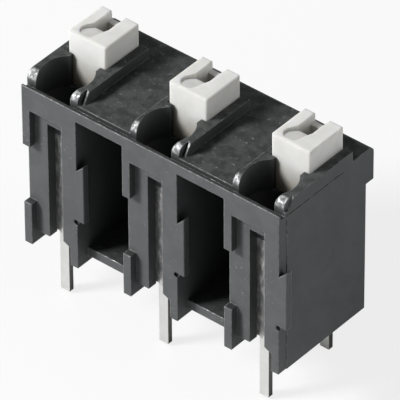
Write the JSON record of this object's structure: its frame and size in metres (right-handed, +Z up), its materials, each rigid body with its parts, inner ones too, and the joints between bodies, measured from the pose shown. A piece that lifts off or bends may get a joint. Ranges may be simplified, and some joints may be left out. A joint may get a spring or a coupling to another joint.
{
  "type": "pcb spring terminal block",
  "caption": "Push-in spring terminal block in a grey housing, with off-white release buttons beside round wire entries and solder pins below.",
  "frame": {"origin": "middle of the solder pins' pattern, in the plane of the board's surface", "axes": "+X along the row of poles, +Y from the legged front face to the back with the lip, +Z up from the board to the buttons"},
  "size_m": [0.0195, 0.0085, 0.0172],
  "materials": {
    "housing_plastic": "fine matt moulded grey",
    "button_plastic": "off-white with a slight sheen",
    "tinned_contact": "bright tin plate",
    "spring_steel": "plain spring steel"
  },
  "bodies": {
    "housing_body": {"housing": "housing_plastic", "contact_bar_1": "tinned_contact", "contact_bar_2": "tinned_contact", "contact_bar_3": "tinned_contact", "clamp_spring_1": "spring_steel", "clamp_spring_2": "spring_steel", "clamp_spring_3": "spring_steel"},
    "button_1": {"push_button_1": "button_plastic"},
    "button_2": {"push_button_2": "button_plastic"},
    "button_3": {"push_button_3": "button_plastic"}
  },
  "joints": [
    {"name": "button_1_press", "type": "slide", "parent": "housing_body", "child": "button_1", "axis": [0, 0, -1], "range_m": [0, 0.0013], "stiffness_N_per_m": 6000, "deforming": ["clamp_spring_1"]},
    {"name": "button_2_press", "type": "slide", "parent": "housing_body", "child": "button_2", "axis": [0, 0, -1], "range_m": [0, 0.0013], "stiffness_N_per_m": 6000, "deforming": ["clamp_spring_2"]},
    {"name": "button_3_press", "type": "slide", "parent": "housing_body", "child": "button_3", "axis": [0, 0, -1], "range_m": [0, 0.0013], "stiffness_N_per_m": 6000, "deforming": ["clamp_spring_3"]}
  ]
}
